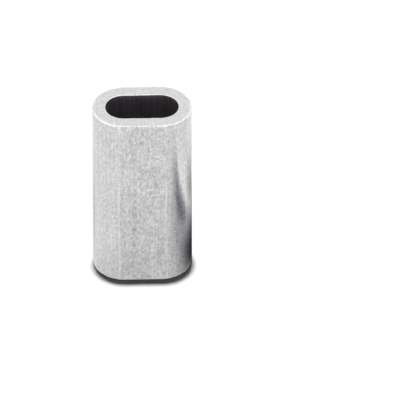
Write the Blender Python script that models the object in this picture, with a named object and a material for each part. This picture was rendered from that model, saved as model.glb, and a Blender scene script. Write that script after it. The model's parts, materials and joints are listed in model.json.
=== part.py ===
"""Oval ferrule for wire rope: one length of extruded aluminium tube, sawn to length.

The two strands of a rope lie side by side in the bore, which is twice as wide as it is deep.
The ferrule stands on one sawn end. Z runs along the bore, X across the two strands, and Y
through the two flat sides. The origin is the centre of the lower end.
"""

from math import cos, pi, radians, sin

import bmesh
import bpy

MM = 0.001

# Driving dimensions
ROPE_DIAMETER = 8.0 * MM
ROPE_CLEARANCE = 0.8 * MM
WALL = 3.15 * MM
LENGTH = 47.4 * MM
EDGE_BREAK = 0.25 * MM

# Worked out from them
BORE_DEPTH = ROPE_DIAMETER + ROPE_CLEARANCE
BORE_RADIUS = BORE_DEPTH / 2
HALF_FLAT = BORE_RADIUS
OUTER_RADIUS = BORE_RADIUS + WALL

# Fineness of the round ends and of the broken edges
ARC_SEGMENTS = 32
EDGE_SEGMENTS = 2


def clear_scene():
    """Remove whatever the file opened with."""
    for obj in list(bpy.data.objects):
        bpy.data.objects.remove(obj)


def oval_outline(radius):
    """Points of two half circles, joined by straight flats HALF_FLAT each side of the centre."""
    points = []
    for side in (1, -1):
        for step in range(ARC_SEGMENTS + 1):
            angle = side * pi / 2 * (2 * step / ARC_SEGMENTS - 1)
            x = side * (HALF_FLAT + radius * cos(angle))
            y = radius * sin(angle)
            points.append((x, y))
    return points


def add_loop(mesh, points, height):
    """Add the closed loop of edges through the points at one height."""
    verts = [mesh.verts.new((x, y, height)) for x, y in points]
    return [mesh.edges.new((vert, verts[i - 1])) for i, vert in enumerate(verts)]


def aluminium():
    """Bare extruded aluminium, with a satin surface."""
    material = bpy.data.materials.new("aluminium")
    material.use_nodes = True
    shader = material.node_tree.nodes["Principled BSDF"]
    shader.inputs["Base Color"].default_value = (0.62, 0.62, 0.63, 1.0)
    shader.inputs["Metallic"].default_value = 1.0
    shader.inputs["Roughness"].default_value = 0.42
    return material


def break_edges(obj):
    """Round the four sawn rims, inside and outside, top and bottom."""
    bevel = obj.modifiers.new("broken edges", "BEVEL")
    bevel.width = EDGE_BREAK
    bevel.segments = EDGE_SEGMENTS
    bevel.limit_method = "ANGLE"
    bevel.angle_limit = radians(60)


def ferrule():
    """The tube: a ring-shaped end face, drawn up to its full length."""
    mesh = bmesh.new()
    outer = add_loop(mesh, oval_outline(OUTER_RADIUS), 0.0)
    inner = add_loop(mesh, oval_outline(BORE_RADIUS), 0.0)
    ring = bmesh.ops.bridge_loops(mesh, edges=outer + inner)["faces"]
    drawn = bmesh.ops.extrude_face_region(mesh, geom=ring, use_keep_orig=True)["geom"]
    top = [item for item in drawn if isinstance(item, bmesh.types.BMVert)]
    bmesh.ops.translate(mesh, verts=top, vec=(0.0, 0.0, LENGTH))
    bmesh.ops.recalc_face_normals(mesh, faces=mesh.faces)

    data = bpy.data.meshes.new("ferrule")
    mesh.to_mesh(data)
    mesh.free()
    data.shade_smooth()
    data.set_sharp_from_angle(angle=radians(30))
    data.materials.append(aluminium())

    obj = bpy.data.objects.new("ferrule", data)
    bpy.context.scene.collection.objects.link(obj)
    break_edges(obj)
    return obj


clear_scene()
ferrule()
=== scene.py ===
"""The looks of the oval wire rope ferrule: extruded aluminium tube, sawn to length and deburred.

The tube is one closed grid of points. Lines square to the wall, called spokes, run round the
oval, and the section of the wall is repeated on each of them. The section carries what a real
ferrule shows in its shape: die lines along the outside, and edges that were broken by hand.
The constants are in metres, degrees and watts, unless a comment says otherwise.
"""

import json
from math import cos, pi, radians, sin

import bpy
import numpy as np
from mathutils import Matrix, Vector

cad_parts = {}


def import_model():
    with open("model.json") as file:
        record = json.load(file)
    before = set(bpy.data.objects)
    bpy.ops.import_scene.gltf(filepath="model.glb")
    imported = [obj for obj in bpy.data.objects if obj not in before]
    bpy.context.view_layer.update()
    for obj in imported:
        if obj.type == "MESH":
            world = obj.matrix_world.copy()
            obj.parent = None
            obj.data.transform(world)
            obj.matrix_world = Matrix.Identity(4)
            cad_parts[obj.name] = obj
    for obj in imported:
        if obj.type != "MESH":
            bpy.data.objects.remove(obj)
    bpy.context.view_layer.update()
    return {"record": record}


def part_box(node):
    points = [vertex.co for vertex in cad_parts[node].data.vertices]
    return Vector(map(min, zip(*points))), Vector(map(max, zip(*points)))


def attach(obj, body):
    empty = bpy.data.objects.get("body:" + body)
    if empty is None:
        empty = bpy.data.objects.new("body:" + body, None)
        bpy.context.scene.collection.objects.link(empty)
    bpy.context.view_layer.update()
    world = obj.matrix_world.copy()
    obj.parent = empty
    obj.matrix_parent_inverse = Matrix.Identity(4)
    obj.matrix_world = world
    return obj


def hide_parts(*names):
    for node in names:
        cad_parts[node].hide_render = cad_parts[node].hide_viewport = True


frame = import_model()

MM = 0.001
SEED = 5

# The tube's shape, read from the frame
LOW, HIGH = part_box("ferrule")
CENTRE = (LOW + HIGH) / 2
MOUNTS = {mount["name"]: mount for mount in frame["record"]["mounts"]}
MIDDLE_OF_WALL = abs(MOUNTS["top_end"]["pos_m"][1])
OUTER_RADIUS = (HIGH.y - LOW.y) / 2
BORE_RADIUS = 2 * MIDDLE_OF_WALL - OUTER_RADIUS
HALF_FLAT = (HIGH.x - LOW.x) / 2 - OUTER_RADIUS
LENGTH = HIGH.z - LOW.z

# Fineness of the grid
ARC_STEPS = 160
FLAT_STEPS = 60
WALL_STEPS = 12
END_STEPS = 8
EDGE_STEPS = 5

# Width of the broken edges, on the flats and at the middle of the round ends
OUTER_EDGE = (0.18 * MM, 0.38 * MM)
BORE_EDGE = (0.24 * MM, 0.22 * MM)
# How far a bore edge reaches down, as a share of its width
BORE_EDGE_SLOPE = 0.5
# How much the width of an edge wanders, as a share of it. Fewer than EDGE_WAVES of its waves
# go round the outline
EDGE_WANDER = 0.45
EDGE_WAVES = 24
# Nicks in each edge, with the range of their depth and of their width
NICKS = 16
NICK_DEPTH = (0.05 * MM, 0.2 * MM)
NICK_WIDTH = (0.2 * MM, 0.35 * MM)

# Die lines along the tube. Each one's width is the common width times a factor from the range
DIE_LINES = 46
DIE_LINE_HEIGHT = 0.006 * MM
DIE_LINE_WIDTH = 0.3 * MM
DIE_LINE_FACTORS = (0.6, 2.5)

# Beads beside the flats, and the painted highlight lines on them
BEAD_HEIGHT = 0.012 * MM
BEAD_WIDTH = 0.45 * MM
BEAD_INSET = 1.3 * MM
BEAD_HIGHLIGHT_WIDTH = 0.3 * MM

# Material zones, in the order of the mesh's slots
SKIN, EDGE, END, BORE = range(4)

# The camera looks down at the front flat, almost straight on, through a long lens. Its target
# is at the right of the ferrule, so the ferrule stands at the left of the picture
CAMERA_AZIMUTH = -1.4
CAMERA_ELEVATION = 39
CAMERA_LENS = 1200
CAMERA_TARGET = Vector((13.9 * MM, 0, 18.31 * MM))
FRAME_WIDTH = 96.35 * MM

# The one lamp, small and high up, a little behind the ferrule
LAMP_AZIMUTH = 185
LAMP_ELEVATION = 87.5
LAMP_DISTANCE = 2.0
LAMP_SIZE = 0.067
LAMP_POWER = 46

# Light of the room, in the metal and on the floor. In the metal it falls from ahead to behind,
# while the Y of the line of sight goes through a range
ROOM_AHEAD = 1.2
ROOM_BEHIND = 0.97
ROOM_FALL = (0.1, 0.7)
ROOM_ON_FLOOR = 0.057

# The floor lies just under the ferrule. Between two distances out it fades into the white room
FLOOR_HALF = 2.5
FLOOR_GAP = 0.02 * MM
FLOOR_COLOUR = (0.9, 0.86, 0.87, 1.0)
FLOOR_FADE = (0.08, 0.3)
FLOOR_IN_METAL = 1.15
# Soft ovals of painted reflection and painted shade on the floor, which only the metal mirrors.
# Each has its middle and its half length and half width in mm, its turn, the share of it that
# is even, and its light
PAINTED_REFLECTION_OVALS = [
    # Painted shade: dimmer floor in front, and a dim strip behind at the left
    ((0, -15), (25, 56), 0, 0.0, (0.74, 0.74, 0.74)),
    ((-25, 20), (30, 9), 125, 0.0, (0.62, 0.62, 0.62)),
    # Painted reflection of an absent second ferrule at the right: its shadow, dark flank and
    # surround
    ((12.5, 6), (17, 22), 55, 0.22, (0.03, 0.03, 0.04)),
    ((37, -17), (28, 9), -79, 0.55, (0.12, 0.13, 0.175)),
    ((22, -9), (46, 17), -75, 0.0, (0.47, 0.47, 0.5)),
    # Its painted lit side, and two painted greys beyond it
    ((40, -3.5), (30, 4), -62, 0.7, (1.7, 1.7, 1.7)),
    ((29, 17), (16, 22), 90, 0.6, (0.5, 0.5, 0.5)),
    ((33, 30), (20, 6), 70, 0.1, (0.4, 0.4, 0.4)),
]

random = np.random.default_rng(SEED)


# ---------------------------------------------------------------- shape


def spokes():
    """Foot on the X axis and direction of each spoke, counterclockwise from the front right."""
    rows = []
    for side in (1, -1):
        for step in range(ARC_STEPS):
            angle = pi * step / ARC_STEPS - side * pi / 2
            rows.append((side * HALF_FLAT, cos(angle), sin(angle)))
        for step in range(FLAT_STEPS):
            rows.append((side * HALF_FLAT * (1 - 2 * step / FLAT_STEPS), 0, side))
    return np.array(rows).T


def travel_round(foot, across, deep):
    """Distance round the outside to each spoke, and the whole way round."""
    x = foot + OUTER_RADIUS * across
    y = OUTER_RADIUS * deep
    steps = np.hypot(np.roll(x, -1) - x, np.roll(y, -1) - y)
    return np.cumsum(steps) - steps, steps.sum()


def hump(travel, around, centre, width):
    """A smooth hump round one place on the closed outline, 1 high."""
    away = (travel - centre + around / 2) % around - around / 2
    return np.exp(-((away / width) ** 2))


def die_lines(travel, around):
    """Fine raised and sunk lines that the die leaves along the tube, the same at every height."""
    relief = np.zeros_like(travel)
    for _ in range(DIE_LINES):
        width = DIE_LINE_WIDTH * random.uniform(*DIE_LINE_FACTORS)
        height = DIE_LINE_HEIGHT * random.uniform(-1, 1)
        relief += height * hump(travel, around, random.uniform(0, around), width)
    return relief


def beads(travel, around):
    """A faint bead beside each end of each flat, just on the round."""
    arc, flat = pi * OUTER_RADIUS, 2 * HALF_FLAT
    places = (BEAD_INSET, arc - BEAD_INSET, arc + flat + BEAD_INSET, 2 * arc + flat - BEAD_INSET)
    return BEAD_HEIGHT * sum(hump(travel, around, at, BEAD_WIDTH) for at in places)


def wander(travel, around):
    """Smooth random wander round the outline, about -1 to 1."""
    total = np.zeros_like(travel)
    for wave in range(2, EDGE_WAVES):
        phase = random.uniform(0, 2 * pi)
        total += np.sin(2 * pi * wave * travel / around + phase) / wave**0.5
    return total / np.abs(total).max()


def broken_edge(widths, travel, around, across):
    """Width of a broken edge round the outline: widths are on the flats and at the round ends."""
    on_flats, on_rounds = widths
    wide = on_flats + (on_rounds - on_flats) * np.abs(across)
    wide *= 1 + EDGE_WANDER * wander(travel, around)
    for _ in range(NICKS):
        depth, width = random.uniform(*NICK_DEPTH), random.uniform(*NICK_WIDTH)
        wide += depth * hump(travel, around, random.uniform(0, around), width)
    return wide


def half_section(outer_edge, bore_edge, outer_relief, bore_relief):
    """Columns of points (distance along the spoke, height over mid-length) from the middle of
    the outside, over one end and down to the middle of the bore, and each step's zone."""
    columns, zones = [], []
    half = LENGTH / 2
    outside = OUTER_RADIUS + outer_relief
    bore = BORE_RADIUS + bore_relief
    for step in range(WALL_STEPS + 1):
        columns.append((outside, (half - outer_edge) * step / WALL_STEPS))
        zones.append(SKIN)
    for step in range(1, EDGE_STEPS + 1):
        turn = pi / 2 * step / EDGE_STEPS
        columns.append((outside - outer_edge * (1 - cos(turn)), half - outer_edge * (1 - sin(turn))))
        zones.append(EDGE)
    rim, mouth = outside - outer_edge, bore + bore_edge
    for step in range(1, END_STEPS + 1):
        columns.append((rim + (mouth - rim) * step / END_STEPS, np.full_like(rim, half)))
        zones.append(END)
    bore_drop = BORE_EDGE_SLOPE * bore_edge
    for step in range(1, EDGE_STEPS + 1):
        turn = pi / 2 * step / EDGE_STEPS
        columns.append((mouth - bore_edge * sin(turn), half - bore_drop * (1 - cos(turn))))
        zones.append(EDGE)
    for step in range(1, WALL_STEPS + 1):
        columns.append((bore, (half - bore_drop) * (1 - step / WALL_STEPS)))
        zones.append(BORE)
    return columns, zones[1:]


def grid_faces(rows, rings, zones):
    """Faces of a grid that closes on itself both ways, and the material slot of each face."""
    faces, slots = [], []
    for row in range(rows):
        here, beside = row * rings, (row + 1) % rows * rings
        for ring in range(rings):
            above = (ring + 1) % rings
            faces.append((here + ring, beside + ring, beside + above, here + above))
            slots.append(zones[ring])
    return faces, slots


def ferrule_mesh():
    """The closed grid of the whole tube, with a material slot for each zone."""
    foot, across, deep = spokes()
    travel, around = travel_round(foot, across, deep)
    outer_relief = die_lines(travel, around) + beads(travel, around)
    bore_relief = die_lines(travel, around)
    loop, zones = [], []
    for end in (1, -1):
        outer_edge = broken_edge(OUTER_EDGE, travel, around, across)
        bore_edge = broken_edge(BORE_EDGE, travel, around, across)
        columns, kinds = half_section(outer_edge, bore_edge, outer_relief, bore_relief)
        placed = [(out, CENTRE.z + end * up) for out, up in columns]
        loop += placed if end == 1 else placed[-2:0:-1]
        zones += kinds[::end]
    out, height = (np.array(values).T for values in zip(*loop))
    x = foot[:, None] + out * across[:, None]
    y = out * deep[:, None]
    points = np.stack([x, y, height], axis=-1).reshape(-1, 3)
    faces, slots = grid_faces(*out.shape, zones)

    mesh = bpy.data.meshes.new("ferrule_tube")
    mesh.from_pydata(points.tolist(), [], faces)
    mesh.polygons.foreach_set("material_index", slots)
    mesh.shade_smooth()
    return mesh


# ---------------------------------------------------------------- node helpers


def node(tree, kind, inputs=None, **settings):
    """A new node. Each input is a plain value, or the socket that feeds it."""
    made = tree.nodes.new(kind)
    for name, value in settings.items():
        setattr(made, name, value)
    for name, value in (inputs or {}).items():
        if isinstance(value, bpy.types.NodeSocket):
            tree.links.new(value, made.inputs[name])
        else:
            made.inputs[name].default_value = value
    return made


def noise(tree, pitch, along=1.0, detail=2.0):
    """Noise with features about one pitch wide, and along times as long up the tube."""
    place = node(tree, "ShaderNodeTexCoord").outputs["Object"]
    scale = (1 / pitch, 1 / pitch, 1 / (pitch * along))
    scaled = node(tree, "ShaderNodeMapping", {"Vector": place, "Scale": scale}).outputs[0]
    texture = node(tree, "ShaderNodeTexNoise", {"Vector": scaled, "Scale": 1.0, "Detail": detail})
    return texture.outputs["Fac"]


def weighed(tree, parts):
    """The weighed sum of values. Each value and each weight is a number or a socket."""
    total = 0.0
    for value, weight in parts:
        inputs = {0: value, 1: weight, 2: total}
        total = node(tree, "ShaderNodeMath", inputs, operation="MULTIPLY_ADD").outputs[0]
    return total


def spread(tree, socket, low, high, start=0.35, end=0.65):
    """The socket's middle range, start to end, spread over low to high."""
    inputs = {"Value": socket, "From Min": start, "From Max": end, "To Min": low, "To Max": high}
    return node(tree, "ShaderNodeMapRange", inputs).outputs["Result"]


def grey(level):
    """A colour without a tint."""
    return (level, level, level)


def ramp(tree, socket, low, high, start=0.4, end=0.6, interpolation="LINEAR"):
    """A colour that goes from low to high as the socket goes from start to end."""
    made = node(tree, "ShaderNodeValToRGB", {"Fac": socket})
    made.color_ramp.interpolation = interpolation
    for stop, position, colour in zip(made.color_ramp.elements, (start, end), (low, high)):
        stop.position = position
        stop.color = (*colour, 1.0)
    return made.outputs["Color"]


def bumps(tree, heights):
    """One normal from several heights, each a socket and its height in metres."""
    normal = None
    for socket, height in heights:
        inputs = {"Height": socket, "Distance": height, "Strength": 1.0}
        if normal:
            inputs["Normal"] = normal
        normal = node(tree, "ShaderNodeBump", inputs).outputs["Normal"]
    return normal


# ---------------------------------------------------------------- materials


def metal(name, look):
    """A bare metal material. The look gives the sockets for its colour, roughness and normal."""
    material = bpy.data.materials.new(name)
    material.use_nodes = True
    tree = material.node_tree
    shader = tree.nodes["Principled BSDF"]
    shader.inputs["Metallic"].default_value = 1.0
    for socket, source in zip(("Base Color", "Roughness", "Normal"), look(tree)):
        tree.links.new(source, shader.inputs[socket])
    return material


def from_middle(tree):
    """Distance from the middle plane between the two strands."""
    place = node(tree, "ShaderNodeTexCoord").outputs["Object"]
    across = node(tree, "ShaderNodeSeparateXYZ", {0: place}).outputs["X"]
    return node(tree, "ShaderNodeMath", {0: across}, operation="ABSOLUTE").outputs[0]


def on_round(tree):
    """0 on the flats, and 1 well round the ends."""
    return spread(tree, from_middle(tree), 0, 1, HALF_FLAT, HALF_FLAT + OUTER_RADIUS / 2)


def bead_highlight_lines(tree):
    """Patchy bright lines, 1 high, along the beads beside the flats: a painted highlight in the
    colour.
    """
    inputs = {0: from_middle(tree), 1: HALF_FLAT + BEAD_INSET}
    away = node(tree, "ShaderNodeMath", inputs, operation="SUBTRACT").outputs[0]
    away = node(tree, "ShaderNodeMath", {0: away}, operation="ABSOLUTE").outputs[0]
    line = spread(tree, away, 1, 0, 0, BEAD_HIGHLIGHT_WIDTH)
    patches = spread(tree, noise(tree, 2 * MM, along=5), 0, 1, 0.45, 0.6)
    return node(tree, "ShaderNodeMath", {0: line, 1: patches}, operation="MULTIPLY").outputs[0]


def skin_look(tree):
    """Extruded skin: streaks along the tube, a fine grain, a coarser mottle, faint clouds and
    painted highlight lines on the beads. The flats are dull, and the round ends are glossier and
    more even."""
    streaks = noise(tree, 0.35 * MM, along=80)
    grain = noise(tree, 0.24 * MM, along=1.3)
    mottle = noise(tree, 0.6 * MM, along=1.6)
    clouds = noise(tree, 3.5 * MM, along=2.5)
    rounded = on_round(tree)
    parts = [(streaks, 0.14), (grain, 0.43), (mottle, 0.33), (clouds, 0.1), (-0.5, 1)]
    contrast = spread(tree, rounded, 1, 0.75, 0, 1)
    # The bead lines lighten the tone: a painted highlight
    tone = weighed(tree, [(weighed(tree, parts), contrast), (bead_highlight_lines(tree), 0.065), (0.5, 1)])
    colour = ramp(tree, tone, grey(0.27), grey(0.85), 0.3, 0.7)
    rough = weighed(tree, [(rounded, -0.22), (tone, 0.2), (0.36, 1)])
    normal = bumps(tree, [(streaks, 0.007 * MM), (grain, 0.005 * MM), (mottle, 0.005 * MM)])
    return colour, rough, normal


def edge_look(tree):
    """Edge broken with a file: whiter than the skin, with fine chatter, and on the flats with
    small dark specks of painted shade, where nicks lie in shadow."""
    chatter = noise(tree, 0.4 * MM, detail=3)
    nick_shade_mask = weighed(tree, [(noise(tree, 0.5 * MM), 1), (on_round(tree), -0.1)])
    # Painted shade: the tone falls to 0.3 in small specks, for nicks in shadow
    painted_nick_shade = spread(tree, nick_shade_mask, 1, 0.3, 0.61, 0.66)
    tone = weighed(tree, [(spread(tree, chatter, 0.74, 0.9, 0.4, 0.6), painted_nick_shade)])
    return tone, spread(tree, chatter, 0.25, 0.4), bumps(tree, [(chatter, 0.02 * MM)])


def end_look(tree):
    """Sawn end: fine even grain, a little lighter than the skin."""
    grain = noise(tree, 0.26 * MM)
    tone = weighed(tree, [(grain, 0.6), (noise(tree, 0.7 * MM), 0.4)])
    colour = ramp(tree, tone, grey(0.54), grey(0.86), 0.3, 0.7)
    return colour, spread(tree, tone, 0.4, 0.52), bumps(tree, [(grain, 0.02 * MM)])


def shaded_bore_look(tree):
    """Bore wall: painted shade, a colour darker than the skin for the dark inside of the bore,
    with the streaks of the mandrel.
    """
    streaks = noise(tree, 0.3 * MM, along=80)
    # Painted shade: the bore's colour is darker than the skin's
    colour = ramp(tree, streaks, (0.375, 0.342, 0.37), (0.465, 0.424, 0.458))
    return colour, spread(tree, streaks, 0.32, 0.4), bumps(tree, [(streaks, 0.012 * MM)])


def ferrule():
    """The finished tube, in the place of the plain CAD one."""
    tube = bpy.data.objects.new("ferrule_tube", ferrule_mesh())
    bpy.context.scene.collection.objects.link(tube)
    # One material for each zone, in the zones' order
    looks = {
        "extruded_skin": skin_look,
        "broken_edge": edge_look,
        "sawn_end": end_look,
        "bore_wall_painted_shade": shaded_bore_look,
    }
    for name, look in looks.items():
        tube.data.materials.append(metal(name, look))
    tube.modifiers.new("flat faces stay flat", "WEIGHTED_NORMAL")
    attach(tube, "root")
    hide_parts("ferrule")


# ---------------------------------------------------------------- studio


def painted_reflection_floor(tree, place):
    """What the metal sees of the floor: white, with soft ovals of painted reflection and
    painted shade that darken or lighten it.
    """
    light = (1.0, 1.0, 1.0)
    for (x, y), (half_length, half_width), turn, even, colour in PAINTED_REFLECTION_OVALS:
        inputs = {
            "Vector": place,
            "Location": Vector((x, y, 0)) * MM,
            "Rotation": Vector((0, 0, radians(turn))),
            "Scale": Vector((half_length * MM, half_width * MM, 1)),
        }
        oval = node(tree, "ShaderNodeMapping", inputs, vector_type="TEXTURE").outputs[0]
        away = node(tree, "ShaderNodeVectorMath", {0: oval}, operation="LENGTH").outputs["Value"]
        shade = ramp(tree, away, colour, grey(1.0), even, 1, "EASE")
        inputs = {0: shade, 1: light}
        light = node(tree, "ShaderNodeVectorMath", inputs, operation="MULTIPLY").outputs[0]
    return light


def floor_material():
    """Plain and pale. The metal mirrors it as an even glow with soft ovals of painted reflection
    and painted shade, and not with the ferrule's own shadow. Far out it is that glow for the
    camera too, which looks white."""
    material = bpy.data.materials.new("pale_floor")
    material.use_nodes = True
    material.cycles.emission_sampling = "NONE"
    tree = material.node_tree
    shader = tree.nodes["Principled BSDF"]
    shader.inputs["Base Color"].default_value = FLOOR_COLOUR
    shader.inputs["Roughness"].default_value = 0.9
    shader.inputs["Specular IOR Level"].default_value = 0.1
    place = node(tree, "ShaderNodeTexCoord").outputs["Object"]
    path = node(tree, "ShaderNodeLightPath")
    strength = spread(tree, path.outputs["Diffuse Depth"], FLOOR_IN_METAL, 0, 0, 1)
    # The glow's colour carries the painted reflection and painted shade
    inputs = {"Color": painted_reflection_floor(tree, place), "Strength": strength}
    glow = node(tree, "ShaderNodeEmission", inputs).outputs[0]
    out = node(tree, "ShaderNodeVectorMath", {0: place}, operation="LENGTH").outputs["Value"]
    inputs = {0: path.outputs["Is Glossy Ray"], 1: spread(tree, out, 0, 1, *FLOOR_FADE)}
    glows = node(tree, "ShaderNodeMath", inputs, operation="MAXIMUM").outputs[0]
    either = node(tree, "ShaderNodeMixShader", {0: glows, 1: shader.outputs[0], 2: glow}).outputs[0]
    tree.links.new(either, tree.nodes["Material Output"].inputs["Surface"])
    return material


def floor():
    """A plain pale floor, which reaches well past every view."""
    mesh = bpy.data.meshes.new("floor")
    half = FLOOR_HALF
    corners = [(-half, -half), (half, -half), (half, half), (-half, half)]
    mesh.from_pydata([(x, y, LOW.z - FLOOR_GAP) for x, y in corners], [], [(0, 1, 2, 3)])
    mesh.materials.append(floor_material())
    plane = bpy.data.objects.new("floor", mesh)
    bpy.context.scene.collection.objects.link(plane)


def world():
    """The room. It is white to the camera, and dim on the floor, so that the ferrule's contact
    shadow stays dark. The metal sees it brighter ahead and at the sides than behind, which
    lights the front rims."""
    room = bpy.data.worlds.new("studio")
    room.use_nodes = True
    tree = room.node_tree
    path = node(tree, "ShaderNodeLightPath")
    sight = node(tree, "ShaderNodeTexCoord").outputs["Generated"]
    back = node(tree, "ShaderNodeSeparateXYZ", {0: sight}).outputs["Y"]
    mirrored = spread(tree, back, ROOM_AHEAD, ROOM_BEHIND, *ROOM_FALL)
    lit = spread(tree, path.outputs["Diffuse Depth"], mirrored, ROOM_ON_FLOOR, 0, 1)
    seen = spread(tree, path.outputs["Is Camera Ray"], lit, 1.0, 0, 1)
    tree.links.new(seen, tree.nodes["Background"].inputs["Strength"])
    tree.nodes["Background"].inputs["Color"].default_value = (1.0, 1.0, 1.0, 1.0)
    bpy.context.scene.world = room


def direction(azimuth, elevation):
    """Unit vector from the ferrule; azimuth 0 is in front, and 90 at the right."""
    turn, rise = radians(azimuth), radians(elevation)
    return Vector((sin(turn) * cos(rise), -cos(turn) * cos(rise), sin(rise)))


def facing(name, data, target, back, distance):
    """A new camera or lamp that faces the target, from a distance back along a direction."""
    made = bpy.data.objects.new(name, data)
    made.location = target + back * distance
    made.rotation_mode = "QUATERNION"
    made.rotation_quaternion = back.to_track_quat("Z", "Y")
    bpy.context.scene.collection.objects.link(made)
    return made


def top_lamp():
    """The lamp that casts the contact shadow. The metal doesn't mirror it."""
    data = bpy.data.lights.new("top", "AREA")
    data.shape = "SQUARE"
    data.size = LAMP_SIZE
    data.energy = LAMP_POWER
    lamp = facing("top", data, CENTRE, direction(LAMP_AZIMUTH, LAMP_ELEVATION), LAMP_DISTANCE)
    lamp.visible_glossy = False


def camera():
    """The photograph's view: from the front and above, with the ferrule at the left."""
    data = bpy.data.cameras.new("camera")
    data.lens = CAMERA_LENS
    back = direction(CAMERA_AZIMUTH, CAMERA_ELEVATION)
    distance = FRAME_WIDTH * CAMERA_LENS / data.sensor_width
    bpy.context.scene.camera = facing("camera", data, CAMERA_TARGET, back, distance)


ferrule()
floor()
world()
top_lamp()
camera()
bpy.context.scene.view_settings.view_transform = "Standard"
